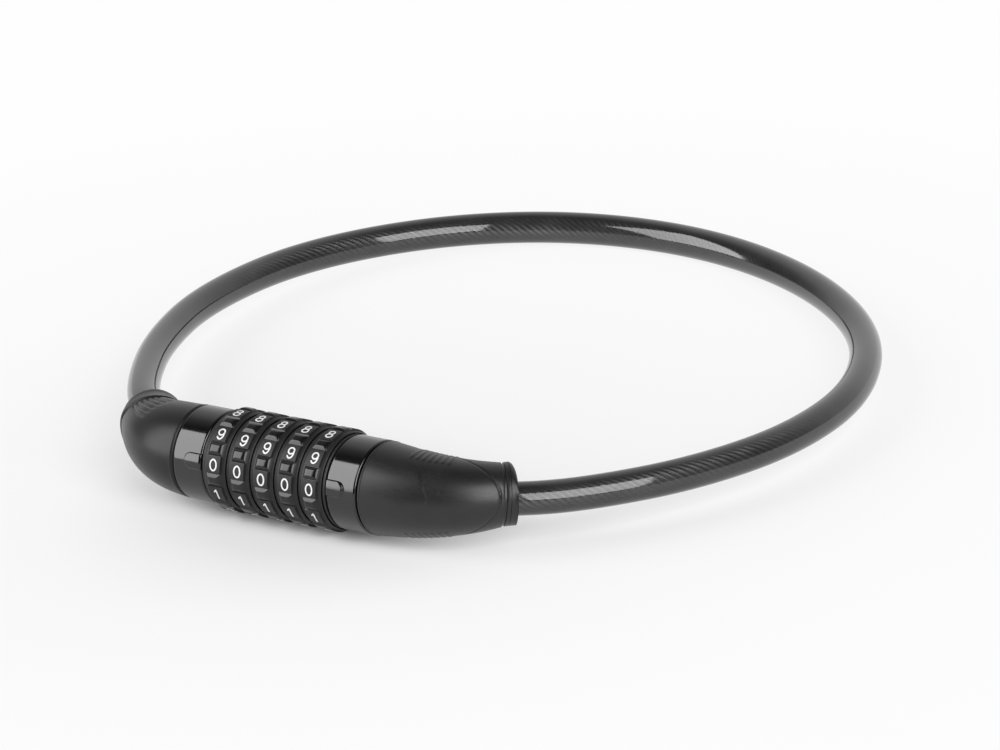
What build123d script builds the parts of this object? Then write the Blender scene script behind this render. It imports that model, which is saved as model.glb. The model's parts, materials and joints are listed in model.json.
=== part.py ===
"""Five-dial combination cable lock, locked in a closed loop.

Millimetres. +X runs along the lock's axis towards the plug, +Z is up and the lock stands on z = 0.
The origin is on the standing surface, under the middle dial. The cable leaves both boots towards +Y.
"""

from build123d import *
from math import cos, pi, radians, sin, tan
import os

# ---------------------------------------------------------------- driving dimensions
# cable
cable_d = 8.0
strand_d = 5.0
strand_gap = 0.2

# number dials
dial_count = 5
digit_count = 10
dial_pitch = 7.1
dial_width = 6.2
pad_r = 12.25
crest_h = 0.35
rim_drop = 0.4
rim_w = 1.0
rim_step = 0.25
seat_drop = 0.55
tooth_root = 0.4
pad_w = 4.0
tooth_foot = 3.2
tooth_top = 1.6
tooth_side_gap = 0.15
index_angle = 14.0
dial_rest_turn = [1.5, -1.0, -4.5, -4.5, -5.0]

# code rings, keyed into the dials
ring_wall = 2.7
code_ring_w = 4.2
key_w = 1.2
key_h = 0.8
keyway_play = 0.9
detent_r = 0.55

# barrel and what slides in it
barrel_r = 6.2
barrel_wall = 2.12
slot_w = 2.4
barrel_floor = 0.8
channel_w = 2.6
channel_depth = 1.25
spring_leaf_w = 2.3
spring_leaf_t = 0.25
leaf_lift = 0.25
leaf_bump_h = 0.75
leaf_bump_top = 1.0
leaf_ramp = 1.1
fin_w = 2.0
fin_t = 1.9
fin_h = 1.4
fin_play = 0.4
bolt_grip = 3.7
bolt_chamfer = 0.4
plunger_t = 0.8
spigot_r = 2.1
spigot_l = 1.1
coil_r = 2.9
coil_wire_r = 0.3
coil_turns = 4
chamber_l = 3.4

# washers, retaining ring, collars
washer_t = 0.7
washer_drop = 1.05
ring_t = 0.8
ring_play = 0.4
ring_seat_depth = 0.45
ring_mouth = 3.2
barrel_lip = 0.8
collar_drop = 0.95
collar_wall = 2.0
collar_end_x = 27.0
collar_round = 0.3
tongue_l = 5.2
tongue_w = 4.0
tongue_h = 0.35

# housings at the cable's ends
ferrule_wall = 0.96
ferrule_l = 8.2
ferrule_floor = 0.9
tail_wall = 1.5
tail_l = 8.8
tail_root = 1.5
screw_r = 1.5
screw_hex = 1.5
screw_sink = 0.2
pin_r = 1.0

# boots
boot_drop = 0.05
boot_groove_depth = 0.35
boot_groove_w = 0.6
boot_flange_w = 3.5
boot_flange_round = 2.3
boot_lap = 0.5
boot_pocket = 3.0
right_bend = 32.0
right_arc_l = 29.1
right_flange_l = 3.7
right_taper = [1.0, 0.926, 0.845, 0.776, 0.68]
left_bend = 48.5
left_arc_l = 25.2
left_flange_l = 4.4
left_taper = [1.0, 0.96, 0.885, 0.775, 0.705]

# clearances
fit_gap = 0.04
run_gap = 0.08
end_gap = 0.3
seam_gap = 0.25
loop_gap = 0.3

# the cable's route, from inside the plug's ferrule round to the fixed ferrule
route_points = [
    (27, 0, 12.6), (42, 1.2, 12.5), (58, 7.6, 12.0), (71, 19.6, 11.2), (85.5, 43.4, 10.1),
    (92.7, 74, 8.8), (88, 108, 7.5), (67.6, 143, 6.0), (33, 170.3, 4.9), (-8.4, 185, 4.15),
    (-48, 182, 4.15), (-78.7, 162.6, 4.9), (-97.4, 129.5, 6.4), (-98, 91.2, 8.3), (-87, 58.7, 9.9),
    (-71, 32.2, 11.3), (-56.4, 15.8, 12.3), (-42, 6, 12.6), (-28, 0, 12.6),
]

# ---------------------------------------------------------------- worked-out places
crest_r = pad_r + crest_h
rim_r = pad_r - rim_drop
seat_r = pad_r - seat_drop
barrel_bore_r = barrel_r - barrel_wall
channel_floor_r = barrel_r - channel_depth
leaf_base_r = channel_floor_r + leaf_lift
leaf_bump_r = leaf_base_r + leaf_bump_h
fin_r = barrel_r + fin_h
fin_passage_w = fin_w + 2 * fin_play
fin_passage_r = fin_r + fin_play
dial_bore_r = barrel_r + run_gap + ring_wall + fit_gap
collar_r = pad_r - collar_drop
washer_r = pad_r - washer_drop
housing_r = collar_r - collar_wall
ring_r = housing_r - ring_play
ferrule_r = cable_d / 2 + ferrule_wall + fit_gap
tail_r = ferrule_r + tail_wall
boot_r = collar_r - boot_drop
boot_flange_r = cable_d / 2 + boot_flange_w
boot_groove_r = boot_flange_r - boot_groove_depth
axis_z = crest_r
lock_axis = Axis((0, 0, axis_z), (1, 0, 0))
first_dial_x = -dial_pitch * (dial_count - 1) / 2
dial_x = [first_dial_x + dial_pitch * n for n in range(dial_count)]
washer_x = [first_dial_x + dial_pitch * (n - 0.5) for n in range(dial_count + 1)]
pack_end_x = washer_x[-1] + washer_t / 2
collar_start_x = pack_end_x + end_gap
ring_x = pack_end_x + end_gap
barrel_end_x = ring_x + ring_t + barrel_lip
plug_face_x = barrel_end_x + end_gap
bolt_end_x = plug_face_x + bolt_grip
bolt_tip_x = washer_x[0] - fin_t / 2 - end_gap
plunger_x = bolt_tip_x - run_gap - plunger_t
chamber_x = plunger_x - chamber_l
barrel_left_x = chamber_x - barrel_floor
digit_step = 360 / digit_count
boot_start_x = collar_end_x + seam_gap


def across(x):
    """The plane square to the lock's axis at x, with +Y to its right and +Z up it."""
    return Plane(origin=(x, 0, axis_z), x_dir=(0, 1, 0), z_dir=(1, 0, 0))


def along(x):
    """The upright plane through the lock's axis, with its origin on the axis at x."""
    return Plane(origin=(x, 0, axis_z), x_dir=(1, 0, 0), z_dir=(0, -1, 0))


def facing(angle):
    """The polar angle, in an across plane, of what stands at an angle above the front."""
    return 180 - angle


def corner_radii(points):
    """The largest even arc at each corner: 0.45 of the shorter run over the half turn's tangent."""
    radii = []
    for before, here, after in zip(points, points[1:], points[2:]):
        run_in = Vector(*here) - Vector(*before)
        run_out = Vector(*after) - Vector(*here)
        half_turn = radians(run_in.get_angle(run_out)) / 2
        radii.append(0.45 * min(run_in.length, run_out.length) / tan(half_turn))
    return radii


def finish(piece, name):
    """Labels a finished piece and writes its STEP file."""
    piece.part.label = name
    export_step(piece.part, f"parts/{name}.step")


os.makedirs("parts", exist_ok=True)

# ---------------------------------------------------------------- cable
radii = corner_radii(route_points)
print("cord radii", [round(r, 1) for r in radii])

with BuildLine() as route:
    FilletPolyline(*route_points, radius=radii)

route_start = Plane(origin=route.line @ 0, z_dir=route.line % 0)

with BuildPart() as cable_jacket:
    with BuildSketch(route_start):
        Circle(cable_d / 2)
        Circle(strand_d / 2 + strand_gap, mode=Mode.SUBTRACT)
    sweep(path=route.line)
finish(cable_jacket, "cable_jacket")

with BuildPart() as cable_core:
    with BuildSketch(route_start):
        Circle(strand_d / 2)
    sweep(path=route.line)
finish(cable_core, "cable_core")
cord_length = route.wire().length
core_section = pi * strand_d**2 / 4
print("cord length", round(cord_length, 1))
volume_ratio = cable_core.part.volume / (core_section * cord_length)
print("core volume over section and length", round(volume_ratio, 4))


# ---------------------------------------------------------------- dials and code rings
def number_dial(x, turn):
    """A dial with ten digit pads and, between them, ten crowned teeth."""
    half = dial_width / 2
    half_pad = pad_w / 2
    digit_angle = facing(index_angle + turn)
    tooth_angle = digit_angle + digit_step / 2
    with BuildPart() as teeth:
        with BuildSketch(along(x)):
            with BuildLine():
                ThreePointArc((-half_pad, seat_r), (0, crest_r), (half_pad, seat_r))
                Polyline(
                    (half_pad, seat_r),
                    (half_pad, seat_r - tooth_root),
                    (-half_pad, seat_r - tooth_root),
                    (-half_pad, seat_r),
                )
            make_face()
        revolve(axis=lock_axis)
        with BuildSketch(across(x - half)):
            with PolarLocations(0, digit_count, start_angle=tooth_angle):
                Polygon(
                    (seat_r - tooth_root, -tooth_foot / 2),
                    (crest_r, -tooth_top / 2),
                    (crest_r + crest_h, 0),
                    (crest_r, tooth_top / 2),
                    (seat_r - tooth_root, tooth_foot / 2),
                    align=None,
                )
        extrude(amount=dial_width, mode=Mode.INTERSECT)
    with BuildPart() as dial:
        with BuildSketch(along(x)):
            with BuildLine():
                Polyline(
                    (-half, dial_bore_r),
                    (-half, rim_r - rim_step),
                    (-half + rim_step, rim_r),
                    (-half + rim_w, rim_r),
                    (-half_pad, pad_r),
                    (half_pad, pad_r),
                    (half - rim_w, rim_r),
                    (half - rim_step, rim_r),
                    (half, rim_r - rim_step),
                    (half, dial_bore_r),
                    close=True,
                )
            make_face()
        revolve(axis=lock_axis)
        with BuildSketch(across(x - half_pad)):
            with PolarLocations((seat_r + crest_r) / 2, digit_count, start_angle=tooth_angle):
                Rectangle(crest_r - seat_r, tooth_foot + 2 * tooth_side_gap)
        extrude(amount=pad_w, mode=Mode.SUBTRACT)
        with BuildSketch(across(x - half)):
            with PolarLocations(dial_bore_r, 1, start_angle=turn - 90):
                Rectangle(2 * (key_h + fin_play / 2), key_w + 2 * keyway_play)
        extrude(amount=dial_width, mode=Mode.SUBTRACT)
        add(teeth.part)
    return dial


def code_ring(x):
    """The ring inside a dial: a notch for the bolt's fin, ten click grooves and a key."""
    with BuildPart() as ring:
        with BuildSketch(across(x - code_ring_w / 2)):
            Circle(dial_bore_r - fit_gap)
            with Locations((0, -dial_bore_r)):
                Rectangle(key_w, 2 * key_h)
            Circle(barrel_r + run_gap, mode=Mode.SUBTRACT)
            with Locations((0, fin_passage_r / 2)):
                Rectangle(fin_passage_w, fin_passage_r, mode=Mode.SUBTRACT)
            with PolarLocations(barrel_r + run_gap, digit_count, start_angle=-90):
                Circle(detent_r, mode=Mode.SUBTRACT)
        extrude(amount=code_ring_w)
    return ring


for n, (x, turn) in enumerate(zip(dial_x, dial_rest_turn), start=1):
    finish(number_dial(x, turn), f"number_dial_{n}")
    finish(code_ring(x), f"code_ring_{n}")


def spacer_washer(x):
    """A thin washer between two dials, notched so that a fin of the bolt can stand in it."""
    with BuildPart() as washer:
        with BuildSketch(across(x - washer_t / 2)):
            Circle(washer_r)
            Circle(barrel_r + fit_gap, mode=Mode.SUBTRACT)
            with Locations((0, fin_passage_r / 2)):
                Rectangle(fin_passage_w, fin_passage_r, mode=Mode.SUBTRACT)
        extrude(amount=washer_t)
    return washer


for n, x in enumerate(washer_x, start=1):
    finish(spacer_washer(x), f"spacer_washer_{n}")

# ---------------------------------------------------------------- barrel
barrel_screw_x = (chamber_x + bolt_tip_x) / 2
seat_floor_r = barrel_r - ring_seat_depth
pack_half = washer_x[-1] - washer_t / 2

with BuildPart() as lock_barrel:
    with BuildSketch(across(barrel_left_x)):
        Circle(barrel_r)
    extrude(amount=barrel_end_x - barrel_left_x)
    with BuildSketch(across(chamber_x)):
        Circle(barrel_bore_r)
    extrude(amount=barrel_end_x - chamber_x, mode=Mode.SUBTRACT)
    with BuildSketch(across(bolt_tip_x)):
        with Locations((0, barrel_r)):
            Rectangle(slot_w, 3 * barrel_wall)
    extrude(amount=barrel_end_x - bolt_tip_x, mode=Mode.SUBTRACT)
    with BuildSketch(across(-pack_half)):
        with Locations((0, -channel_floor_r - channel_depth)):
            Rectangle(channel_w, 2 * channel_depth)
    extrude(amount=2 * pack_half, mode=Mode.SUBTRACT)
    with BuildSketch(across(ring_x - fit_gap)):
        Circle(barrel_r + ring_seat_depth)
        Circle(seat_floor_r, mode=Mode.SUBTRACT)
    extrude(amount=ring_t + 2 * fit_gap, mode=Mode.SUBTRACT)
finish(lock_barrel, "lock_barrel")

with BuildPart() as retaining_ring:
    with BuildSketch(across(ring_x)):
        Circle(ring_r)
        Circle(seat_floor_r + fit_gap, mode=Mode.SUBTRACT)
        with Locations((0, ring_r / 2)):
            Rectangle(ring_mouth, ring_r + ring_t, mode=Mode.SUBTRACT)
    extrude(amount=ring_t)
finish(retaining_ring, "retaining_ring")

# one leaf with a bump under each code ring
leaf_points = [(-pack_half + end_gap, -leaf_base_r)]
for x in dial_x:
    top_half = leaf_bump_top / 2
    foot_half = top_half + leaf_ramp
    leaf_points += [(x - foot_half, -leaf_base_r), (x - top_half, -leaf_bump_r)]
    leaf_points += [(x + top_half, -leaf_bump_r), (x + foot_half, -leaf_base_r)]
leaf_points += [(pack_half - end_gap, -leaf_base_r)]

with BuildPart() as detent_spring:
    with BuildSketch(along(0)):
        with BuildLine():
            Polyline(*leaf_points)
        trace(line_width=spring_leaf_t)
    extrude(amount=spring_leaf_w / 2, both=True)
finish(detent_spring, "detent_spring")

# ---------------------------------------------------------------- bolt and ejector
with BuildPart() as bolt:
    with BuildSketch(across(bolt_tip_x)):
        Circle(barrel_bore_r - run_gap)
    extrude(amount=bolt_end_x - bolt_tip_x)
    chamfer(bolt.edges().filter_by(GeomType.CIRCLE).sort_by(Axis.X)[0], bolt_chamfer)
    with BuildSketch(Plane.XY.offset(axis_z)):
        with Locations(*[(x, 0) for x in washer_x[:-1]]):
            Rectangle(fin_t, fin_w)
    extrude(amount=fin_r)
    bolt_pin_x = (plug_face_x + bolt_end_x) / 2
    with BuildSketch(Plane.XZ.offset(0)):
        with Locations((bolt_pin_x, axis_z)):
            Circle(pin_r + fit_gap)
    extrude(amount=barrel_r, both=True, mode=Mode.SUBTRACT)
finish(bolt, "bolt")

with BuildPart() as ejector_plunger:
    with BuildSketch(across(plunger_x)):
        Circle(barrel_bore_r - run_gap)
    extrude(amount=plunger_t)
    with BuildSketch(across(plunger_x)):
        Circle(spigot_r)
    extrude(amount=-spigot_l)
finish(ejector_plunger, "ejector_plunger")

coil_height = chamber_l - 2 * coil_wire_r - 2 * fit_gap
coil_x = chamber_x + fit_gap + coil_wire_r
with BuildPart() as ejector_spring:
    with BuildLine() as coil:
        Helix(
            pitch=coil_height / coil_turns,
            height=coil_height,
            radius=coil_r,
            center=(coil_x, 0, axis_z),
            direction=(1, 0, 0),
        )
    with BuildSketch(Plane(origin=coil.line @ 0, z_dir=coil.line % 0)):
        Circle(coil_wire_r)
    sweep(path=coil.line, is_frenet=True)
finish(ejector_spring, "ejector_spring")


# ---------------------------------------------------------------- collars
def collar(side):
    """A glossy sleeve with the raised index tongue that the digits are read against."""
    start_x = min(side * collar_start_x, side * collar_end_x)
    tongue_foot_x = side * collar_start_x
    length = collar_end_x - collar_start_x
    out = Vector(0, -cos(radians(index_angle)), sin(radians(index_angle)))
    tongue_plane = Plane(
        origin=Vector(tongue_foot_x, 0, axis_z) + out * (collar_r - collar_wall / 2),
        x_dir=(side, 0, 0),
        z_dir=out,
    )
    with BuildPart() as tongue:
        with BuildSketch(across(start_x)):
            Circle(collar_r + tongue_h)
        extrude(amount=length)
        with BuildSketch(tongue_plane):
            with Locations((tongue_l / 2 - tongue_w / 4, 0)):
                Rectangle(tongue_l - tongue_w / 2, tongue_w)
            with Locations((tongue_l - tongue_w / 2, 0)):
                Circle(tongue_w / 2)
        extrude(amount=collar_wall, mode=Mode.INTERSECT)
    with BuildPart() as sleeve:
        with BuildSketch(across(start_x)):
            Circle(collar_r)
        extrude(amount=length)
        fillet(sleeve.edges().filter_by(GeomType.CIRCLE), collar_round)
        add(tongue.part)
        with BuildSketch(across(start_x)):
            Circle(housing_r)
        extrude(amount=length, mode=Mode.SUBTRACT)
    return sleeve


finish(collar(-1), "left_collar")
finish(collar(1), "right_collar")


# ---------------------------------------------------------------- housings, ferrules and screws
def cable_end(points):
    """The plane across the cable where it ends in its ferrule, looking out along the cable."""
    return Plane(origin=points[0], z_dir=Vector(*points[1]) - Vector(*points[0]))


def housing(side, face_x, spigot_r, spigot_depth, end):
    """The metal block that joins a collar, what runs in it and the cable's ferrule."""
    with BuildPart() as block:
        with BuildSketch(across(face_x)):
            Circle(housing_r - fit_gap)
        extrude(amount=side * (collar_end_x - abs(face_x)))
        with BuildSketch(end.offset(-tail_root)):
            Circle(tail_r)
        extrude(amount=tail_l + tail_root)
        with BuildSketch(end.offset(-ferrule_floor - loop_gap)):
            Circle(ferrule_r + fit_gap)
        extrude(amount=tail_l + ferrule_floor + loop_gap, mode=Mode.SUBTRACT)
        with BuildSketch(across(face_x)):
            Circle(spigot_r + fit_gap)
        extrude(amount=side * spigot_depth, mode=Mode.SUBTRACT)
        with BuildSketch(Plane(origin=tail_screw_point(end), z_dir=(0, 0, 1))):
            Circle(screw_r + fit_gap)
        extrude(amount=tail_r, mode=Mode.SUBTRACT)
    return block


def tail_screw_point(end):
    """The point on a ferrule's axis that its screw stands over."""
    return end.origin + end.z_dir * (ferrule_l / 2)


def ferrule(end, gap):
    """The cup crimped on the cable's end."""
    with BuildPart() as cup:
        with BuildSketch(end.offset(-ferrule_floor - gap)):
            Circle(ferrule_r)
        extrude(amount=ferrule_l + ferrule_floor + gap)
        with BuildSketch(end.offset(-gap)):
            Circle(cable_d / 2 + gap)
        extrude(amount=ferrule_l + gap, mode=Mode.SUBTRACT)
    return cup


def set_screw(foot, length):
    """A headless screw with a hexagon socket, standing upright on a foot."""
    with BuildPart() as screw:
        with BuildSketch(Plane(origin=foot, z_dir=(0, 0, 1))):
            Circle(screw_r)
        extrude(amount=length)
        with BuildSketch(Plane(origin=foot + Vector(0, 0, length), z_dir=(0, 0, 1))):
            RegularPolygon(radius=screw_hex / 2, side_count=6)
        extrude(amount=-length / 2, mode=Mode.SUBTRACT)
    return screw


plug_end = cable_end(route_points[:2])
fixed_end = cable_end(route_points[:-3:-1])
tail_screw_l = tail_wall - screw_sink

left_housing = housing(-1, -collar_start_x, barrel_r, -collar_start_x - barrel_left_x, fixed_end)
with BuildPart() as left_block:
    add(left_housing.part)
    with BuildSketch(across(bolt_tip_x)):
        with Locations((0, fin_passage_r / 2)):
            Rectangle(fin_passage_w, fin_passage_r)
    extrude(amount=-collar_start_x - bolt_tip_x, mode=Mode.SUBTRACT)
    with BuildSketch(Plane(origin=(barrel_screw_x, 0, axis_z), z_dir=(0, 0, 1))):
        Circle(screw_r + fit_gap)
    extrude(amount=housing_r, mode=Mode.SUBTRACT)
finish(left_block, "left_housing")

plug_housing = housing(1, plug_face_x, barrel_bore_r, bolt_grip, plug_end)
with BuildPart() as plug_core:
    add(plug_housing.part)
    with BuildSketch(Plane.XZ):
        with Locations((bolt_pin_x, axis_z)):
            Circle(pin_r + fit_gap)
    extrude(amount=housing_r, both=True, mode=Mode.SUBTRACT)
finish(plug_core, "plug_core")

with BuildPart() as bolt_pin:
    with BuildSketch(Plane.XZ):
        with Locations((bolt_pin_x, axis_z)):
            Circle(pin_r)
    extrude(amount=housing_r - bolt_chamfer, both=True)
finish(bolt_pin, "bolt_pin")

finish(ferrule(fixed_end, fit_gap), "left_ferrule")
finish(ferrule(plug_end, loop_gap), "right_ferrule")

ferrule_top = Vector(0, 0, ferrule_r + fit_gap)
barrel_top = Vector(barrel_screw_x, 0, axis_z + barrel_r + fit_gap)
finish(set_screw(tail_screw_point(fixed_end) + ferrule_top, tail_screw_l), "left_set_screw")
finish(set_screw(tail_screw_point(plug_end) + ferrule_top, tail_screw_l), "right_set_screw")
finish(set_screw(barrel_top, housing_r - barrel_r - screw_sink), "barrel_set_screw")


# ---------------------------------------------------------------- boots
def boot(side, bend, arc_l, flange_l, taper, end, lead_points, gap):
    """A rubber elbow from a collar to the cable, with a groove and a rounded flange at its end."""
    arc_r = arc_l / radians(bend)

    def station(share):
        turn = radians(bend) * share
        place = Vector(boot_start_x + arc_r * sin(turn), arc_r * (1 - cos(turn)), axis_z)
        heading = Vector(side * cos(turn), sin(turn), 0)
        return Plane(origin=(side * place.X, place.Y, place.Z), z_dir=heading)

    tip = station(1)
    tip_profile = Plane(origin=tip.origin, x_dir=tip.z_dir, z_dir=(0, 0, 1))
    flange_end = boot_groove_w + flange_l
    with BuildLine() as lead:
        FilletPolyline(*lead_points, radius=corner_radii(lead_points))
    with BuildPart() as elbow:
        for n, scale in enumerate(taper):
            with BuildSketch(station(n / (len(taper) - 1))):
                Circle(boot_r * scale)
        loft()
        with BuildSketch(tip_profile):
            with BuildLine():
                Polyline(
                    (-boot_lap, 0),
                    (-boot_lap, boot_groove_r),
                    (boot_groove_w, boot_groove_r),
                    (boot_groove_w, boot_flange_r),
                    (flange_end - boot_flange_round, boot_flange_r),
                )
                RadiusArc(
                    (flange_end - boot_flange_round, boot_flange_r),
                    (flange_end, boot_flange_r - boot_flange_round),
                    boot_flange_round,
                )
                Polyline((flange_end, boot_flange_r - boot_flange_round), (flange_end, 0), (-boot_lap, 0))
            make_face()
        revolve(axis=Axis(tip.origin, tip.z_dir))
        with BuildSketch(end.offset(-boot_pocket)):
            Circle(tail_r + fit_gap)
        extrude(amount=boot_pocket + tail_l + end_gap, mode=Mode.SUBTRACT)
        with BuildSketch(Plane(origin=lead.line @ 0, z_dir=lead.line % 0)):
            Circle(cable_d / 2 + gap)
        sweep(path=lead.line, mode=Mode.SUBTRACT)
    return elbow


right_lead = route_points[:5]
left_lead = route_points[:-6:-1]
right_boot = boot(1, right_bend, right_arc_l, right_flange_l, right_taper, plug_end, right_lead, loop_gap)
left_boot = boot(-1, left_bend, left_arc_l, left_flange_l, left_taper, fixed_end, left_lead, fit_gap)
finish(right_boot, "right_boot")
finish(left_boot, "left_boot")
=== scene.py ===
"""Looks of the five-dial combination cable lock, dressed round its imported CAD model.

Lengths are in millimetres where a name or comment says so, and are turned to metres by MM. On the lock, an
angle stands above the front (-Y) and grows towards the top (+Z).
"""

import json
from math import cos, degrees, pi, radians, sin, sqrt, tan

import bpy
import numpy as np
from mathutils import Matrix, Quaternion, Vector


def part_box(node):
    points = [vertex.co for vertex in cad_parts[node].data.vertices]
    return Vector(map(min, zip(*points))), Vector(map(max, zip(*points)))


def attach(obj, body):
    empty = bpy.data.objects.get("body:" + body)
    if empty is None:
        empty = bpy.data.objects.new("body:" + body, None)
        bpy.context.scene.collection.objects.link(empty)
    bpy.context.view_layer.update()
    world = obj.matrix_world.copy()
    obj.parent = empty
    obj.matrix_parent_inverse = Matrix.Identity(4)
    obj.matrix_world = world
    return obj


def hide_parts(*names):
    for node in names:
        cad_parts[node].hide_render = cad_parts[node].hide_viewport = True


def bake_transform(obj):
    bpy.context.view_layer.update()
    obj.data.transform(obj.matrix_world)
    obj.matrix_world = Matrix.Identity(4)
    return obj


MM = 0.001
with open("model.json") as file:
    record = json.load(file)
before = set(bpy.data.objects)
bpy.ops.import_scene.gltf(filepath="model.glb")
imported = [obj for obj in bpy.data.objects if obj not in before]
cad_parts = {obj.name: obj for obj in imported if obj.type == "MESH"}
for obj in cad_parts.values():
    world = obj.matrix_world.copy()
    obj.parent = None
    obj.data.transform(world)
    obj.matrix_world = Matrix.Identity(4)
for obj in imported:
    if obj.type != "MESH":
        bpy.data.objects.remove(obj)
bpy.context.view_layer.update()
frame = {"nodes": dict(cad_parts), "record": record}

# ---------------------------------------------------------------- sizes in millimetres, angles in degrees
# what part.py calls by the same names
cable_d = 8.0
dial_count = 5
digit_count = 10
pad_w = 4.0
rim_drop = 0.4
crest_h = 0.35
tooth_top = 1.6
index_angle = 14.0
dial_rest_turn = [1.5, -1.0, -4.5, -4.5, -5.0]
dial_bore_r = 9.02
tongue_l = 5.2
tongue_w = 4.0
tongue_h = 0.35
boot_flange_w = 3.5
boot_groove_depth = 0.35
boot_groove_w = 0.6
left_bend = 48.5
left_arc_l, left_flange_l = 25.2, 4.4
left_taper = [1.0, 0.96, 0.885, 0.775, 0.705]

# read off the frame and worked out from it: the scene's dials stay 0.01 under the CAD model's
dial_low, dial_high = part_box("number_dial_3")
left_collar_low, left_collar_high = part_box("left_collar")
right_boot_low, right_boot_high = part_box("right_boot")
axis_z = (left_collar_low.z + left_collar_high.z) / 2 / MM
collar_r = (left_collar_high.z - left_collar_low.z) / 2 / MM
boot_r = (right_boot_high.z - right_boot_low.z) / 2 / MM
boot_start_x = right_boot_low.x / MM
dial_width = (dial_high.x - dial_low.x) / MM
crest_r = axis_z - 0.01
pad_r = crest_r - crest_h
rim_r = pad_r - rim_drop
digit_step = 360 / digit_count

# the looks' own values, some of which part.py has otherwise: a boot's bend comes late where bend_late is
# over 1, and lean is how far the rings at its tip lean forwards at their top
right_bend, right_bend_late, right_lean = 44.0, 1.7, 7.0
left_bend_late, left_lean = 1.0, 0.0
right_arc_l, right_flange_l, right_flange_round = 29.6, 2.4, 1.3
left_flange_round = 2.3
right_taper = [1.0, 0.938, 0.868, 0.785, 0.68]
boot_bore_r = 9.4
boot_edge_round = 0.7
boot_middle_angle = 17.0
boot_mouth_gap = 0.06
boot_mouth_flare = 0.3
parting_from_groove = 1.05
parting_half_w = 0.1
parting_depth = 0.12
collar_round = 0.5
sleeve_wall = 1.9
tongue_side_w = 0.3
tongue_swell = 0.02
face_r = pad_r + 0.05
valley_r = pad_r - 0.28
pad_side_w = 0.12
pad_end_w = 0.15
tooth_slope = 36.0
tooth_softness = 0.04
tooth_gloss_half = 1.85
shoulder_w = 0.9
shoulder_drop = 0.34
side_undercut = 0.35
side_wall_drop = 0.2
side_chamfer = 0.07
side_chamfer_drop = 0.08
digit_w = 1.95
digit_h = 2.65
digit_down = 0.14
digit_right = 0.06
stroke_w = 0.42
stroke_lift = 0.035
stroke_sink = 0.02
stroke_flat = 0.85
stroke_step = 0.3
outer_strands = 11
strand_d = 1.4
strand_pitch_r = 2.5
strand_bite = 0.1
strand_lay = 21.0
jacket_sides, core_sides, strand_sides = 40, 12, 10
stub_l = 17.0

# ---------------------------------------------------------------- camera
camera_azimuth, camera_elevation, camera_roll = 37.9, 21.0, -5.0
camera_distance = 2000.0
camera_lens, sensor_width = 306.0, 36.0
dials_right, dials_up = -48.85, -22.24

azimuth, elevation, roll = (radians(v) for v in (camera_azimuth, camera_elevation, camera_roll))
sight = Vector((-sin(azimuth) * cos(elevation), cos(azimuth) * cos(elevation), -sin(elevation)))
level_right = Vector((cos(azimuth), sin(azimuth), 0))
level_up = level_right.cross(sight)
camera_right = cos(roll) * level_right + sin(roll) * level_up
camera_up = cos(roll) * level_up - sin(roll) * level_right
dials_centre = Vector((0, 0, axis_z))
camera_place = dials_centre - dials_right * camera_right - dials_up * camera_up - camera_distance * sight

camera = bpy.data.objects.new("camera", bpy.data.cameras.new("camera"))
camera.data.lens = camera_lens
camera.data.sensor_width = sensor_width
camera.data.clip_start = 0.1
camera.data.clip_end = 50.0
camera.matrix_world = Matrix.LocRotScale(
    camera_place * MM,
    Matrix((camera_right, camera_up, -sight)).transposed().to_quaternion(),
    Vector((1, 1, 1)),
)
bpy.context.scene.collection.objects.link(camera)
bpy.context.scene.camera = camera

# ---------------------------------------------------------------- cable
# the route of part.py, from the plug's ferrule round to the fixed ferrule
route_points = [
    (0.027, 0, 0.0126), (0.042, 0.0012, 0.0125), (0.058, 0.0076, 0.012), (0.071, 0.0196, 0.0112),
    (0.0855, 0.0434, 0.0101), (0.0927, 0.074, 0.0088), (0.088, 0.108, 0.0075), (0.0676, 0.143, 0.006),
    (0.033, 0.1703, 0.0049), (-0.0084, 0.185, 0.00415), (-0.048, 0.182, 0.00415),
    (-0.0787, 0.1626, 0.0049), (-0.0974, 0.1295, 0.0064), (-0.098, 0.0912, 0.0083),
    (-0.087, 0.0587, 0.0099), (-0.071, 0.0322, 0.0113), (-0.0564, 0.0158, 0.0123),
    (-0.042, 0.006, 0.0126), (-0.028, 0, 0.0126),
]


def route_line():
    """The points, in metres, that the route's NURBS spline runs through, from the fixed end to the plug."""
    curve = bpy.data.curves.new("route", "CURVE")
    curve.dimensions = "3D"
    curve.resolution_u = 40
    spline = curve.splines.new("NURBS")
    spline.points.add(len(route_points) - 1)
    for point, place in zip(spline.points, reversed(route_points)):
        point.co = (*place, 1)
    spline.order_u = 3
    spline.use_endpoint_u = True
    holder = bpy.data.objects.new("route", curve)
    bpy.context.scene.collection.objects.link(holder)
    mesh = bpy.data.meshes.new_from_object(holder)
    line = np.array([v.co for v in mesh.vertices])
    bpy.data.objects.remove(holder)
    bpy.data.curves.remove(curve)
    bpy.data.meshes.remove(mesh)
    return line


def run_lengths(line):
    """How far along a line each of its points lies."""
    return np.r_[0, np.cumsum(np.linalg.norm(np.diff(line, axis=0), axis=1))]


def carried_frames(line):
    """Two directions across a line at each point, turned as little as they can be from one to the next."""
    heading = np.gradient(line, axis=0)
    heading /= np.linalg.norm(heading, axis=1)[:, None]
    side = np.cross(heading[0], (0, 0, 1.0))
    sides = []
    for ahead in heading:
        side = side - ahead * (side @ ahead)
        side /= np.linalg.norm(side)
        sides.append(side)
    sides = np.array(sides)
    return sides, np.cross(heading, sides)


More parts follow.
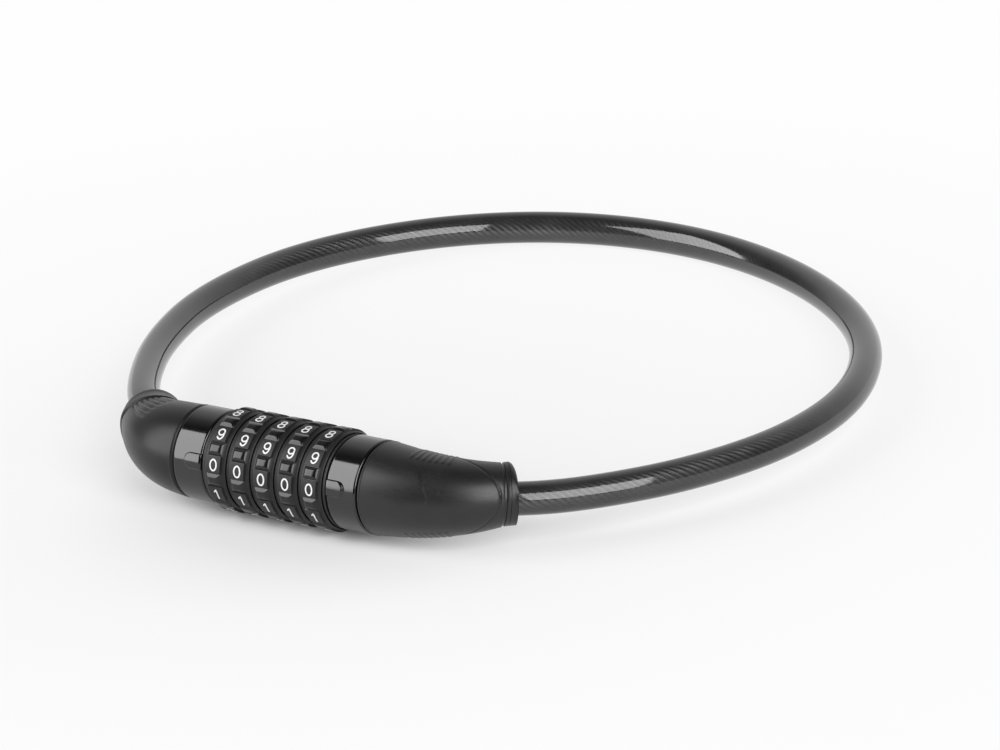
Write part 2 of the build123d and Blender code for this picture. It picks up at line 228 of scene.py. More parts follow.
# ---------------------------------------------------------------- mesh helpers
def grid_mesh(name, rings, closed_along=False, sharp_angle=35, caps=False):
    """An object from rings of points in millimetres, all with as many points, joined in the order given."""
    rings = np.asarray(rings, float)
    count, around = rings.shape[:2]
    along = count if closed_along else count - 1
    row = np.arange(around)
    faces = []
    for n in range(along):
        here, there = n * around, (n + 1) % count * around
        following = np.roll(row, -1)
        faces += np.stack([here + row, here + following, there + following, there + row], 1).tolist()
    if caps:
        faces.append(list(range(around))[::-1])
        faces.append(list(range((count - 1) * around, count * around)))
    return finished_mesh(name, rings.reshape(-1, 3), faces, sharp_angle)


def finished_mesh(name, points, faces, sharp_angle=35):
    """An object from points, in millimetres, and outward faces, smooth but for its sharp edges."""
    mesh = bpy.data.meshes.new(name)
    mesh.from_pydata((np.asarray(points) * MM).tolist(), [], faces)
    mesh.shade_smooth()
    mesh.set_sharp_from_angle(angle=radians(sharp_angle))
    mesh.update()
    piece = bpy.data.objects.new(name, mesh)
    bpy.context.scene.collection.objects.link(piece)
    return piece


def ring_points(centre, across, up, radius, angles):
    """Points of a ring round a centre, at angles from one direction towards the other."""
    return (
        np.asarray(centre)
        + np.multiply.outer(radius * np.cos(angles), across)
        + np.multiply.outer(radius * np.sin(angles), up)
    )


def smooth_step(low, high, value):
    """0 below low, 1 above high, and a soft step in between."""
    share = np.clip((value - low) / (high - low), 0, 1)
    return share * share * (3 - 2 * share)


# ---------------------------------------------------------------- materials
def new_material(name):
    """A new node material, its principled shader and its node tree."""
    made = bpy.data.materials.new(name)
    made.use_nodes = True
    return made, made.node_tree.nodes["Principled BSDF"], made.node_tree


def noise(tree, scale, detail=3.0, stretch=(1, 1, 1)):
    """A noise texture over the piece's own coordinates, in metres."""
    place = tree.nodes.new("ShaderNodeTexCoord")
    mapping = tree.nodes.new("ShaderNodeMapping")
    mapping.inputs["Scale"].default_value = stretch
    texture = tree.nodes.new("ShaderNodeTexNoise")
    texture.inputs["Scale"].default_value = scale
    texture.inputs["Detail"].default_value = detail
    tree.links.new(place.outputs["Object"], mapping.inputs["Vector"])
    tree.links.new(mapping.outputs["Vector"], texture.inputs["Vector"])
    return texture


def vary_colour(tree, shader, texture, dark, light):
    """The base colour runs between two colours with a texture."""
    ramp = tree.nodes.new("ShaderNodeValToRGB")
    ramp.color_ramp.elements[0].position = 0.3
    ramp.color_ramp.elements[1].position = 0.7
    ramp.color_ramp.elements[0].color = (*dark, 1)
    ramp.color_ramp.elements[1].color = (*light, 1)
    tree.links.new(texture.outputs["Fac"], ramp.inputs["Fac"])
    tree.links.new(ramp.outputs["Color"], shader.inputs["Base Color"])


def vary_roughness(tree, shader, texture, low, high):
    """The roughness runs between two values with a texture."""
    spread = tree.nodes.new("ShaderNodeMapRange")
    spread.inputs["From Min"].default_value = 0.3
    spread.inputs["From Max"].default_value = 0.7
    spread.inputs["To Min"].default_value = low
    spread.inputs["To Max"].default_value = high
    tree.links.new(texture.outputs["Fac"], spread.inputs["Value"])
    tree.links.new(spread.outputs["Result"], shader.inputs["Roughness"])


def add_bump(tree, shader, texture, height):
    """Small relief from a texture, its height in metres."""
    bump = tree.nodes.new("ShaderNodeBump")
    bump.inputs["Distance"].default_value = height
    bump.inputs["Strength"].default_value = 1.0
    tree.links.new(texture.outputs["Fac"], bump.inputs["Height"])
    tree.links.new(bump.outputs["Normal"], shader.inputs["Normal"])


def plain_finish(
    name, colour, roughness=None, metallic=0.0, spread=0.15, grain=2500, relief=2e-6, stretch=(1, 1, 1)
):
    """A material with mottled colour and fine grain, and its shader. The grain varies a given roughness."""
    made, shader, tree = new_material(name)
    shader.inputs["Metallic"].default_value = metallic
    broad = noise(tree, 180, 4.0)
    fine = noise(tree, grain, 3.0, stretch)
    dark = tuple(c * (1 - spread) for c in colour)
    light = tuple(c * (1 + spread) for c in colour)
    vary_colour(tree, shader, broad, dark, light)
    if roughness is not None:
        vary_roughness(tree, shader, fine, roughness * 0.85, roughness * 1.15)
    add_bump(tree, shader, fine, relief)
    return made, shader


dial_plastic, dial_shader = plain_finish("dial_plastic", (0.0065, 0.0065, 0.0067), grain=3000, relief=3e-6)
dial_shader.inputs["Specular IOR Level"].default_value = 0.42
dial_tree = dial_plastic.node_tree
polish_read = dial_tree.nodes.new("ShaderNodeAttribute")
polish_read.attribute_name = "polish"
polish_range = dial_tree.nodes.new("ShaderNodeMapRange")
polish_range.inputs["To Min"].default_value = 0.5
polish_range.inputs["To Max"].default_value = 0.18
dial_tree.links.new(polish_read.outputs["Fac"], polish_range.inputs["Value"])
dial_tree.links.new(polish_range.outputs["Result"], dial_shader.inputs["Roughness"])
digit_paint, _ = plain_finish(
    "digit_paint", (0.68, 0.68, 0.675), 0.45, spread=0.04, grain=4000, relief=3e-6
)
collar_gloss, collar_shader = plain_finish(
    "collar_gloss", (0.0045, 0.0045, 0.0047), 0.09, grain=900, relief=3e-7
)
collar_shader.inputs["Specular IOR Level"].default_value = 0.65
left_rubber, left_rubber_shader = plain_finish(
    "left_rubber", (0.012, 0.012, 0.0123), 0.34, grain=2200, relief=6e-6
)
left_rubber_shader.inputs["Specular IOR Level"].default_value = 0.24
right_rubber, right_rubber_shader = plain_finish(
    "right_rubber", (0.0095, 0.0095, 0.0098), 0.38, grain=2200, relief=5e-6
)
right_rubber_shader.inputs["Specular IOR Level"].default_value = 0.48

clear_jacket, jacket_shader, jacket_tree = new_material("clear_jacket")
jacket_shader.inputs["Specular IOR Level"].default_value = 0.8
jacket_mottle = noise(jacket_tree, 150, 3.0)
vary_colour(jacket_tree, jacket_shader, jacket_mottle, (0.014, 0.014, 0.0144), (0.021, 0.021, 0.0214))
vary_roughness(jacket_tree, jacket_shader, jacket_mottle, 0.07, 0.11)
slant = jacket_tree.nodes.new("ShaderNodeLayerWeight")
slant.inputs["Blend"].default_value = 0.5
smoke = jacket_tree.nodes.new("ShaderNodeMapRange")
smoke.interpolation_type = "SMOOTHSTEP"
smoke.inputs["From Min"].default_value = 0.05
smoke.inputs["From Max"].default_value = 0.5
smoke.inputs["To Min"].default_value = 0.72
smoke.inputs["To Max"].default_value = 0.99
jacket_tree.links.new(slant.outputs["Facing"], smoke.inputs["Value"])
jacket_tree.links.new(smoke.outputs["Result"], jacket_shader.inputs["Alpha"])

steel_strand, _ = plain_finish("steel_strand", (0.6, 0.6, 0.61), 0.45, metallic=0.9, spread=0.2, grain=1500)
hardened_steel, _ = plain_finish(
    "hardened_steel", (0.32, 0.32, 0.33), 0.38, metallic=1.0, spread=0.08, grain=400, stretch=(12, 1, 1)
)
spring_steel, _ = plain_finish("spring_steel", (0.38, 0.38, 0.39), 0.25, metallic=1.0, spread=0.08)
die_cast_zinc, _ = plain_finish("die_cast_zinc", (0.36, 0.36, 0.37), 0.45, metallic=0.9, relief=8e-6)
crimped_ferrule, _ = plain_finish("crimped_ferrule", (0.58, 0.58, 0.59), 0.35, metallic=1.0, spread=0.08)
brass_ring, _ = plain_finish(
    "brass_ring", (0.56, 0.41, 0.17), 0.3, metallic=1.0, spread=0.1, stretch=(12, 1, 1)
)
washer_black, _ = plain_finish("washer_black", (0.008, 0.008, 0.008), 0.55)
black_screw, _ = plain_finish("black_screw", (0.025, 0.025, 0.025), 0.4, metallic=0.6)


def paint(piece, material):
    """Gives a piece one material."""
    piece.data.materials.clear()
    piece.data.materials.append(material)
    return piece


def settle(piece, material, slot, body, *nodes):
    """Paints a piece, lets it ride on its body and stand for its CAD nodes. Its slot is not used."""
    paint(piece, material)
    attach(piece, body)
    if nodes:
        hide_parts(*nodes)
    return piece


# ---------------------------------------------------------------- cable pieces
def tube_mesh(name, line, radius, sides):
    """A closed tube along a line in metres."""
    across, up = carried_frames(line)
    angles = np.arange(sides) * 2 * pi / sides
    rings = [ring_points(p / MM, a, u, radius, angles) for p, a, u in zip(line, across, up)]
    return grid_mesh(name, rings, caps=True, sharp_angle=60)


def strand_lines(line):
    """The lines of the outer strands, laid right-handed round a line, in metres."""
    across, up = carried_frames(line)
    turn = 2 * pi * run_lengths(line) / (strand_lay * MM)
    for n in range(outer_strands):
        angle = turn + 2 * pi * n / outer_strands
        ray = np.cos(angle)[:, None] * across + np.sin(angle)[:, None] * up
        yield line + strand_pitch_r * MM * ray


def joined(name, pieces):
    """Several mesh objects as one."""
    points, faces = [], []
    for piece in pieces:
        base = len(points)
        mesh = piece.data
        points += [v.co / MM for v in mesh.vertices]
        faces += [[base + i for i in face.vertices] for face in mesh.polygons]
        bpy.data.objects.remove(piece)
        bpy.data.meshes.remove(mesh)
    return finished_mesh(name, points, faces, 60)


def strands_mesh(name, line):
    """The core wire and the outer strands along a line."""
    core_r = strand_pitch_r - strand_d / 2 + strand_bite
    wires = [tube_mesh("core", line, core_r, core_sides)]
    wires += [tube_mesh("strand", strand, strand_d / 2, strand_sides) for strand in strand_lines(line)]
    return joined(name, wires)


line = route_line()
far = run_lengths(line)
first = np.searchsorted(far, stub_l * MM)
last = np.searchsorted(far, far[-1] - stub_l * MM)
loop_line = line[first : last + 1]
left_join, right_join = Vector(loop_line[0]), Vector(loop_line[-1])

cable = tube_mesh("cable_jacket_loop", loop_line, cable_d / 2, jacket_sides)
strands = strands_mesh("cable_strands_loop", loop_line)
for piece, material, slot, node in (
    (cable, clear_jacket, "clear_jacket", "cable_jacket"),
    (strands, steel_strand, "steel_strand", "cable_core"),
):
    paint(piece, material)
    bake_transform(piece)
    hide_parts(node)

for side, stub_line, body in (("left", line[: first + 1], "lock_body"), ("right", line[last:], "plug")):
    stub_jacket = tube_mesh(f"cable_jacket_{side}_end", stub_line, cable_d / 2, jacket_sides)
    settle(stub_jacket, clear_jacket, "clear_jacket", body)
    settle(strands_mesh(f"cable_strands_{side}_end", stub_line), steel_strand, "steel_strand", body)

cable_pieces = [strands]
for part in ("jacket", "strands"):
    cable_pieces += [bpy.data.objects[f"cable_{part}_{side}_end"] for side in ("left", "right")]
tuple(left_join)


# ---------------------------------------------------------------- dials
def rim_profile(x):
    """A dial's radius outside its pads, at x from its middle. It falls away to each side as a shoulder."""
    into = np.clip((np.abs(x) - dial_width / 2) / shoulder_w + 1, 0, 1)
    return rim_r - shoulder_drop * into**2


def dial_radius(x, angle):
    """A dial's outer radius at x from its middle and at an angle from a digit's middle, in degrees."""
    from_digit = np.abs((angle + digit_step / 2) % digit_step - digit_step / 2)
    arc_from_tooth = radians(1) * (digit_step / 2 - from_digit) * crest_r
    crown = valley_r + (crest_r - valley_r) * (1 - np.abs(x / (pad_w / 2 + 0.05)) ** 5)
    slope = tan(radians(tooth_slope))
    flank = crest_r - slope * (arc_from_tooth - tooth_top / 2)
    tooth = -tooth_softness * np.log(np.exp(-crown / tooth_softness) + np.exp(-flank / tooth_softness))
    tooth_half = tooth_top / 2 + (crest_r - valley_r) / slope
    pad = smooth_step(tooth_half, tooth_half + pad_end_w, arc_from_tooth)
    ground = valley_r + (face_r - valley_r) * pad
    in_pad_width = 1 - smooth_step(pad_w / 2, pad_w / 2 + pad_side_w, np.abs(x))
    return rim_profile(x) * (1 - in_pad_width) + np.maximum(ground, tooth) * in_pad_width


def dial_body(n, x, turn):
    """A number dial as a closed ring: its outside with pads and teeth, its side faces and its bore.

    Its polish is 1 on the teeth, the side faces and the bore, and 0 elsewhere.
    """
    half = dial_width / 2
    angles = np.arange(0, 360, 0.6)
    pad_edge = pad_w / 2
    right_steps = [0.25, 0.5, 0.75, 1.0, 1.2, 1.4, 1.55, 1.7, 1.8, 1.9, pad_edge]
    right_steps += [pad_edge + pad_side_w / 2, pad_edge + pad_side_w, pad_edge + pad_side_w + 0.02]
    right_steps += [half - shoulder_w * (1 - sin(radians(t))) for t in (5, 15, 30, 45, 60, 75, 90)]
    steps = [-step for step in reversed(right_steps)] + [0] + right_steps
    rings = [(step, dial_radius(step, angles - index_angle - turn)) for step in steps]
    foot_r = rim_r - shoulder_drop
    inset = half - side_undercut
    right_side = [(half - side_chamfer, foot_r - side_chamfer_drop)]
    right_side += [(inset, foot_r - side_wall_drop), (inset, dial_bore_r)]
    left_side = [(-step, radius) for step, radius in reversed(right_side)]
    rings += [(step, np.full(len(angles), radius)) for step, radius in right_side + left_side]
    turns = np.radians(angles)
    points = [
        np.stack([np.full(len(turns), x + step), -r * np.cos(turns), axis_z + r * np.sin(turns)], 1)
        for step, r in rings
    ]
    body = grid_mesh(f"dial_{n}_body", points, closed_along=True, sharp_angle=38)
    from_digit = np.abs((angles - index_angle - turn + digit_step / 2) % digit_step - digit_step / 2)
    on_tooth = from_digit > digit_step / 2 - degrees(tooth_gloss_half / crest_r)
    on_rim = np.zeros(len(angles))
    polish = [on_tooth if abs(step) <= pad_edge else on_rim for step in steps]
    polish += [np.ones(len(angles))] * (len(rings) - len(steps))
    polished = body.data.attributes.new("polish", "FLOAT", "POINT")
    polished.data.foreach_set("value", np.concatenate(polish).astype(np.float32))
    return body


def arc(cx, cy, rx, ry, start, stop, count=14):
    """Points of an elliptical arc, its angles in degrees."""
    return [(cx + rx * cos(radians(t)), cy + ry * sin(radians(t))) for t in np.linspace(start, stop, count)]


def digit_strokes(digit):
    """The strokes of a digit, as lines in a box 1 wide and 1 tall round its middle."""
    if digit == 0:
        return [arc(0, 0, 0.46, 0.5, 90, 450, 32)]
    if digit == 1:
        return [[(-0.26, 0.26), (0.06, 0.5), (0.06, -0.5)]]
    if digit == 2:
        return [arc(0, 0.21, 0.42, 0.29, 165, -30, 14) + [(-0.42, -0.5), (0.45, -0.5)]]
    if digit == 3:
        upper = arc(-0.02, 0.25, 0.38, 0.25, 150, -90, 14)
        lower = arc(-0.02, -0.24, 0.44, 0.26, 90, -150, 16)
        return [upper + lower]
    if digit == 4:
        return [[(0.47, -0.2), (-0.46, -0.2), (0.2, 0.5), (0.2, -0.5)]]
    if digit == 5:
        return [[(0.38, 0.5), (-0.3, 0.5), (-0.36, 0.06)] + arc(-0.01, -0.17, 0.43, 0.33, 130, -145, 18)]
    if digit == 6:
        return [arc(0, 0.02, 0.44, 0.48, 40, 195, 14) + arc(0, -0.2, 0.42, 0.3, 170, 530, 26)]
    if digit == 7:
        return [[(-0.43, 0.5), (0.43, 0.5), (-0.12, -0.5)]]
    if digit == 8:
        return [arc(0, 0.25, 0.36, 0.25, -90, 270, 26), arc(0, -0.24, 0.43, 0.26, 90, 450, 28)]
    return [arc(0, -0.02, 0.44, 0.48, -140, 15, 14) + arc(0, 0.2, 0.42, 0.3, -10, 350, 26)]


def stroke_ribbon(stroke):
    """A stroke's centre points in millimetres, and at each the direction across it and its half width."""
    path = np.array(stroke, float) * (digit_w, digit_h)
    keep = [path[0]]
    for before, after in zip(path, path[1:]):
        pieces = max(1, int(np.linalg.norm(after - before) / stroke_step))
        keep += [before + (after - before) * (k + 1) / pieces for k in range(pieces)]
    path = np.array(keep)
    heading = np.gradient(path, axis=0)
    heading /= np.linalg.norm(heading, axis=1)[:, None]
    closed = np.linalg.norm(path[0] - path[-1]) < 1e-6
    half = np.full(len(path), stroke_w / 2)
    if closed:
        heading[0] = heading[-1] = (heading[0] + heading[-1]) / np.linalg.norm(heading[0] + heading[-1])
    else:
        caps = (0.0, 0.5, 0.866)
        front = [path[0] - heading[0] * stroke_w / 2 * sqrt(1 - c * c) for c in caps]
        back = [path[-1] + heading[-1] * stroke_w / 2 * sqrt(1 - c * c) for c in caps[::-1]]
        path = np.vstack([front, path, back])
        heading = np.vstack([[heading[0]] * 3, heading, [heading[-1]] * 3])
        half = np.r_[[c * stroke_w / 2 for c in caps], half, [c * stroke_w / 2 for c in caps[::-1]]]
        half = np.maximum(half, 0.01)
    normal = np.stack([-heading[:, 1], heading[:, 0]], 1)
    return path, normal, half


def dial_digits(n, x, turn):
    """The ten painted numbers of a dial, wrapped round its pads."""
    points, faces = [], []
    edge, flat = (1.0, -stroke_sink), (stroke_flat, stroke_lift)
    across = ((-edge[0], edge[1]), (-flat[0], flat[1]), flat, edge)
    for digit in range(digit_count):
        middle = index_angle + turn - digit_step * digit
        for stroke in digit_strokes(digit):
            path, normal, half = stroke_ribbon(stroke)
            base = len(points)
            for centre, out, width in zip(path, normal, half):
                for share, lift in across:
                    place = centre + out * width * share + (digit_right, -digit_down)
                    radius = face_r + lift
                    angle = radians(middle) + place[1] / face_r
                    points.append((x + place[0], -radius * cos(angle), axis_z + radius * sin(angle)))
            row = len(across)
            for k in range(len(path) - 1):
                for j in range(row - 1):
                    here = base + k * row + j
                    faces.append([here, here + row, here + row + 1, here + 1][::-1])
    return finished_mesh(f"dial_{n}_digits", points, faces, 30)


for n in range(1, dial_count + 1):
    low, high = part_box(f"code_ring_{n}")
    dial_x = (low.x + high.x) / 2 / MM
    turn = dial_rest_turn[n - 1]
    settle(dial_body(n, dial_x, turn), dial_plastic, "dial_plastic", f"dial_{n}", f"number_dial_{n}")
    settle(dial_digits(n, dial_x, turn), digit_paint, "dial_plastic", f"dial_{n}")


# ---------------------------------------------------------------- collars
def collar_mesh(side):
    """A gloss sleeve with rounded edges and the raised half-pill tongue beside the dials."""
    name, node = ("right_sleeve", "right_collar") if side > 0 else ("left_sleeve", "left_collar")
    low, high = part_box(node)
    start, end = (low.x, high.x) if side > 0 else (-high.x, -low.x)
    start, end = start / MM, end / MM
    near = index_angle + np.arange(-15, 15.01, 0.75)
    around = np.r_[near, np.arange(near[-1] + 3, near[0] + 358, 3)]
    corner = [radians(t) for t in (90, 60, 30, 0)]
    along = [start + collar_round - collar_round * sin(t) for t in corner]
    along += list(np.arange(along[-1] + 0.2, end - collar_round, 0.17))
    along += [end - collar_round + collar_round * sin(t) for t in corner[::-1]]
    drop = [collar_round - collar_round * cos(t) for t in corner]
    lows = drop + [0.0] * (len(along) - 2 * len(drop)) + drop[::-1]
    straight = tongue_l - tongue_w / 2
    rings = []
    for place, lower in zip(along, lows):
        sideways = np.radians((around - index_angle + 180) % 360 - 180) * collar_r
        beyond = np.maximum(place - start - straight, 0)
        edge = np.hypot(beyond, sideways) - tongue_w / 2
        raised = tongue_h * (1 - smooth_step(tongue_swell - tongue_side_w, tongue_swell, edge))
        rings.append((place, collar_r - lower + raised * (lower < collar_round * 0.9)))
    inner_r = collar_r - sleeve_wall
    rings += [(end, np.full(len(around), inner_r)), (start, np.full(len(around), inner_r))]
    turns = np.radians(around)
    points = [
        np.stack([np.full(len(turns), side * place), -r * np.cos(turns), axis_z + r * np.sin(turns)], 1)
        for place, r in rings
    ]
    if side < 0:
        points = [p[::-1] for p in points]
    return settle(grid_mesh(name, points, closed_along=True, sharp_angle=50), collar_gloss, "collar_gloss",
                  "plug" if side > 0 else "lock_body", node)


collar_mesh(-1)
collar_mesh(1)


# ---------------------------------------------------------------- boots
def off_middle(angle):
    """How many degrees an angle is away from the middle of a boot's outer side."""
    return np.abs((angle - boot_middle_angle + 180) % 360 - 180)


def right_relief(s, angle):
    """How far the right boot's skin stands in or out at s along its bend, in millimetres.

    Past a curved edge its outer side lies lower, a fine groove crosses it, and ribs lie across its top and
    its underside.
    """
    panel_drop, groove_depth, groove_half_w = 0.1, 0.22, 0.2
    rib_start, rib_end, rib_blend, rib_h, rib_pitch = 9.0, 19.6, 0.4, 0.16, 1.45
    off = off_middle(angle)
    panel_edge = 15.4 - 7.2 * (off / 85) ** 1.25
    on_panel = smooth_step(panel_edge - 0.15, panel_edge + 0.5, s) * (1 - smooth_step(95, 110, off))
    line_s = 28.8 - 10.1 * (off / 94) ** 2
    in_groove = np.exp(-(((s - line_s) / groove_half_w) ** 2)) * (1 - smooth_step(105, 112, off))
    ribbed = smooth_step(58, 62, off) * (1 - smooth_step(108, 112, off))
    ribbed *= smooth_step(rib_start, rib_start + rib_blend, s)
    ribbed *= 1 - smooth_step(rib_end - rib_blend, rib_end, s)
    wave = rib_h * (0.5 - 0.5 * np.cos(2 * pi * (s - rib_start) / rib_pitch))
    return -panel_drop * on_panel - groove_depth * in_groove + ribbed * wave


def left_relief(s, angle):
    """How far the left boot's skin stands in or out at s along its bend, in millimetres.

    A groove crosses its outer side, which stands higher past it, and fine flutes run along its top.
    """
    groove_depth, groove_half_w, band_h = 0.45, 0.36, 0.25
    flute_depth, flute_pitch, flute_angle = 0.36, 9, 52
    off = off_middle(angle)
    line_s = 24.3 - 5.0 * off / 94
    round_outside = 1 - smooth_step(112, 120, off)
    groove = -groove_depth * np.exp(-(((s - line_s) / groove_half_w) ** 2)) * round_outside
    band = band_h * smooth_step(line_s, line_s + 0.6, s) * round_outside
    flute_start = 9 + 0.04 * np.clip(95 - angle, 0, 60)
    fluted = smooth_step(flute_start, flute_start + 3, s) * (1 - smooth_step(line_s - 0.9, line_s - 0.3, s))
    fluted *= smooth_step(46, 48, angle) * (1 - smooth_step(101, 103, angle))
    wave = -flute_depth * (0.5 + 0.5 * np.cos(2 * pi * (angle - flute_angle) / flute_pitch)) ** 1.5
    return groove + band + fluted * wave


def boot_mesh(side):
    """A rubber elbow: its bend, the groove, the rounded flange and the mouth round the cable.

    The flange is moved sideways as it rounds off, so that the mouth sits on the cable.
    """
    if side > 0:
        name, node, body = "right_elbow", "right_boot", "plug"
        bend, late, lean = right_bend, right_bend_late, right_lean
        arc_l, flange_l, flange_round = right_arc_l, right_flange_l, right_flange_round
        taper, relief, rubber = right_taper, right_relief, right_rubber
    else:
        name, node, body = "left_elbow", "left_boot", "lock_body"
        bend, late, lean = left_bend, left_bend_late, left_lean
        arc_l, flange_l, flange_round = left_arc_l, left_flange_l, left_flange_round
        taper, relief, rubber = left_taper, left_relief, left_rubber
    walk = np.linspace(0, arc_l, 400)
    headings = radians(bend) * (walk / arc_l) ** late
    paces = np.diff(walk)
    walk_x = boot_start_x + np.r_[0, np.cumsum(paces * np.cos((headings[1:] + headings[:-1]) / 2))]
    walk_y = np.r_[0, np.cumsum(paces * np.sin((headings[1:] + headings[:-1]) / 2))]
    around = np.arange(0, 360, 2.25)
    turns = np.radians(around)
    up = np.array((0, 0, 1.0))
    tip_turn = radians(bend)

    def centre_at(s):
        """The boot's middle at s along it, and the direction out of the bend."""
        bent = np.interp(s, walk, headings)
        straight = max(s - arc_l, 0)
        x = np.interp(s, walk, walk_x) + straight * cos(bent)
        y = np.interp(s, walk, walk_y) + straight * sin(bent)
        outward = np.array((side * sin(bent), -cos(bent), 0))
        return np.array((side * x, y, axis_z)), outward

    shares = np.linspace(0, 1, len(taper))
    fitted = np.polynomial.Polynomial.fit(shares, taper, len(taper) - 1)
    rings = []

    def add_ring(s, radius, shift=None):
        """Adds a ring at s along the boot, its middle moved by shift."""
        centre, outward = centre_at(s)
        if shift is not None:
            centre = centre + shift
        leaning = radians(lean) * min(s / arc_l, 1) ** 2
        ahead = side * np.cross(up, outward)
        points = ring_points(centre, outward, up * cos(leaning) + ahead * sin(leaning), radius, turns)
        rings.append(points[::-1] if side < 0 else points)

    flange_r = cable_d / 2 + boot_flange_w
    groove_r = flange_r - boot_groove_depth
    flange_end = arc_l + boot_groove_w + flange_l
    tip_centre, _ = centre_at(flange_end)
    heading = np.array((side * cos(tip_turn), sin(tip_turn), 0))
    cable_line = line / MM
    near_tip = cable_line[np.linalg.norm(cable_line - tip_centre, axis=1) < 20]
    in_plane = near_tip[np.argmin(np.abs((near_tip - tip_centre) @ heading))]
    shift = in_plane - tip_centre

    add_ring(0, boot_bore_r)
    for t in (0, 30, 60, 90):
        add_ring(boot_edge_round * (1 - cos(radians(t))), boot_r - boot_edge_round * (1 - sin(radians(t))))
    for s in np.arange(boot_edge_round + 0.12, arc_l - 0.2, 0.16):
        add_ring(s, boot_r * fitted(s / arc_l) + relief(s, around))
    tip_r = boot_r * taper[-1]
    flange_start = arc_l + boot_groove_w
    tip_steps = [(arc_l - 0.15, tip_r), (arc_l - 0.03, tip_r - 0.08)]
    tip_steps += [(arc_l, groove_r + 0.1), (arc_l + 0.06, groove_r)]
    tip_steps += [(flange_start - 0.06, groove_r), (flange_start, groove_r + 0.1)]
    tip_steps += [(flange_start + 0.05, flange_r - 0.08), (flange_start + 0.2, flange_r)]
    if side > 0:
        parting = flange_start + parting_from_groove
        tip_steps += [(parting - parting_half_w, flange_r), (parting, flange_r - parting_depth)]
        tip_steps += [(parting + parting_half_w, flange_r)]
    for s, radius in tip_steps:
        add_ring(s, radius)
    for t in np.linspace(0, 90, 10):
        round_turn = radians(t)
        add_ring(
            flange_end - flange_round + flange_round * sin(round_turn),
            flange_r - flange_round + flange_round * cos(round_turn),
            shift * (1 - cos(round_turn)),
        )
    mouth_r = cable_d / 2 + boot_mouth_gap
    add_ring(flange_end + 0.02, mouth_r + boot_mouth_flare, shift)
    add_ring(flange_end - 0.1, mouth_r, shift)
    add_ring(flange_end - 3, mouth_r, shift)
    return settle(grid_mesh(name, rings, sharp_angle=40), rubber, "boot_rubber", body, node)


boot_mesh(1)
boot_mesh(-1)

# ---------------------------------------------------------------- CAD nodes that stay
finishes = {
    "hardened_steel": hardened_steel,
    "spring_steel": spring_steel,
    "die_cast_zinc": die_cast_zinc,
    "crimped_ferrule": crimped_ferrule,
    "brass_ring": brass_ring,
    "washer_black": washer_black,
    "black_screw": black_screw,
}
for subpart in frame["record"]["subparts"]:
    if subpart["material_slot"] in finishes:
        paint(frame["nodes"][subpart["node"]], finishes[subpart["material_slot"]])

# ---------------------------------------------------------------- floor, lamps and world
floor_half = 8000.0
lamp_distance = 2500.0


def grey_ramp(tree, value, stops):
    """A colour ramp through grey stops, each a position and a grey."""
    ramp = tree.nodes.new("ShaderNodeValToRGB")
    elements = ramp.color_ramp.elements
    while len(elements) < len(stops):
        elements.new(0.5)
    for element, (position, grey) in zip(elements, stops):
        element.position = position
        element.color = (grey, grey, grey, 1)
    tree.links.new(value, ramp.inputs["Fac"])
    return ramp.outputs["Color"]


def floor_material():
    """A pale floor, lit by the lamps near the object and evenly bright far from it."""
    made, shader, tree = new_material("pale_floor")
    shader.inputs["Roughness"].default_value = 0.9
    shader.inputs["Specular IOR Level"].default_value = 0.1
    mottle = noise(tree, 3.0, 2.0)
    vary_colour(tree, shader, mottle, (0.815, 0.815, 0.815), (0.825, 0.825, 0.825))
    place = tree.nodes.new("ShaderNodeTexCoord")
    from_centre = tree.nodes.new("ShaderNodeVectorMath")
    from_centre.operation = "DISTANCE"
    from_centre.inputs[1].default_value = (0, 0, 0)
    far_white = tree.nodes.new("ShaderNodeEmission")
    far_white.inputs["Strength"].default_value = 0.99
    mix = tree.nodes.new("ShaderNodeMixShader")
    output = tree.nodes["Material Output"]
    tree.links.new(place.outputs["Object"], from_centre.inputs[0])
    share_at_metres = [(0.02, 0.03), (0.06, 0.55), (0.15, 0.82), (0.3, 1.0)]
    share = grey_ramp(tree, from_centre.outputs["Value"], share_at_metres)
    tree.links.new(share, mix.inputs["Fac"])
    tree.links.new(shader.outputs["BSDF"], mix.inputs[1])
    tree.links.new(far_white.outputs["Emission"], mix.inputs[2])
    tree.links.new(mix.outputs["Shader"], output.inputs["Surface"])
    return made


corners = [(x * floor_half, y * floor_half, 0) for x, y in ((-1, -1), (1, -1), (1, 1), (-1, 1))]
floor = paint(finished_mesh("floor", corners, [[0, 1, 2, 3]]), floor_material())


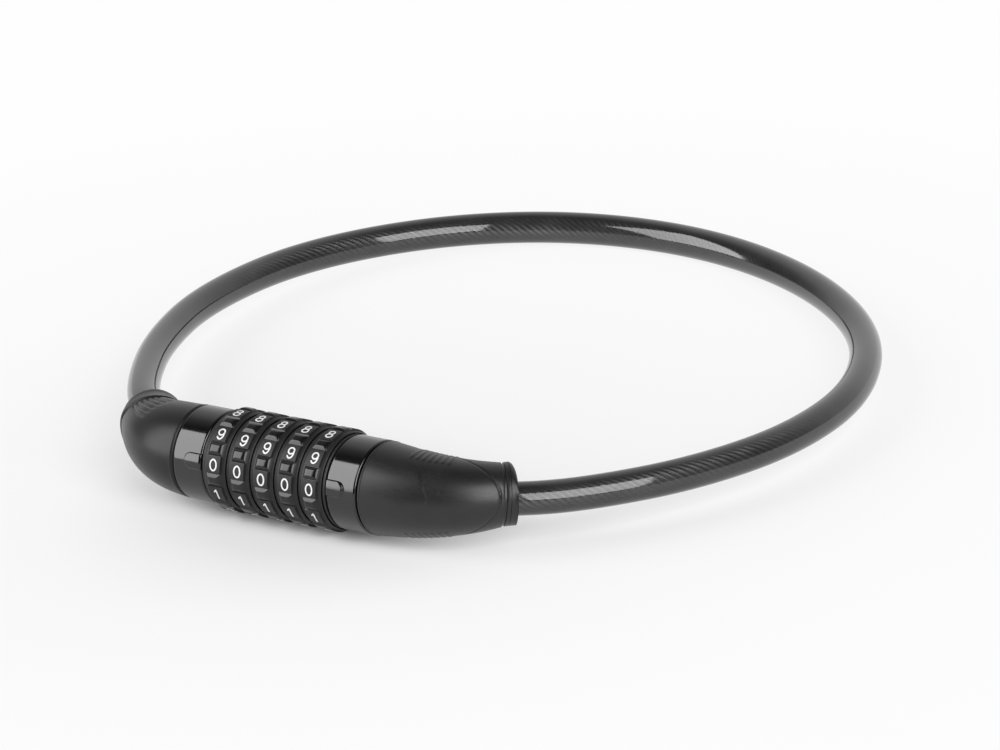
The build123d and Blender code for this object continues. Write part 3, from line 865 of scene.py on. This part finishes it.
def softbox(name, shape, azimuths, elevations, radiance, roll=0):
    """A lamp that fills a span of directions round the dials, in degrees, as seen from them."""
    middle_azimuth = radians(sum(azimuths) / 2)
    middle_elevation = radians(sum(elevations) / 2)
    width = 2 * lamp_distance * tan(radians(azimuths[1] - azimuths[0]) / 2) * cos(middle_elevation)
    height = 2 * lamp_distance * tan(radians(elevations[1] - elevations[0]) / 2)
    towards = Vector((
        sin(middle_azimuth) * cos(middle_elevation),
        -cos(middle_azimuth) * cos(middle_elevation),
        sin(middle_elevation),
    ))
    lamp = bpy.data.lights.new(name, "AREA")
    lamp.shape = shape
    lamp.size = width * MM
    lamp.size_y = height * MM
    lamp.energy = radiance * pi * lamp.size * lamp.size_y * (pi / 4 if shape == "ELLIPSE" else 1)
    holder = bpy.data.objects.new(name, lamp)
    holder.location = (dials_centre + towards * lamp_distance) * MM
    holder.rotation_mode = "QUATERNION"
    upright = (-towards).to_track_quat("-Z", "Y")
    holder.rotation_quaternion = upright @ Quaternion((0, 0, 1), radians(roll))
    holder.visible_camera = False
    bpy.context.scene.collection.objects.link(holder)


softbox("left_softbox", "RECTANGLE", (-74, -32), (0, 50), 5.2)
softbox("right_softbox", "RECTANGLE", (38.5, 86.5), (5, 52), 5.8, roll=-8)

sweep_azimuth, sweep_elevation = -160.0, 5.0


def studio_world():
    """A dark room with a pale sweep far behind the object."""
    world = bpy.data.worlds.new("studio")
    bpy.context.scene.world = world
    world.use_nodes = True
    tree = world.node_tree
    direction = tree.nodes.new("ShaderNodeTexCoord")
    towards_sweep = tree.nodes.new("ShaderNodeVectorMath")
    towards_sweep.operation = "DOT_PRODUCT"
    turn, rise = radians(sweep_azimuth), radians(sweep_elevation)
    towards_sweep.inputs[1].default_value = (sin(turn) * cos(rise), -cos(turn) * cos(rise), sin(rise))
    tree.links.new(direction.outputs["Generated"], towards_sweep.inputs[0])
    grey_at_closeness = [(0.2, 0.03), (0.45, 0.25), (0.66, 0.6), (1.0, 0.9)]
    sweep = grey_ramp(tree, towards_sweep.outputs["Value"], grey_at_closeness)
    tree.links.new(sweep, tree.nodes["Background"].inputs["Color"])


studio_world()

bpy.context.scene.view_settings.view_transform = "Standard"
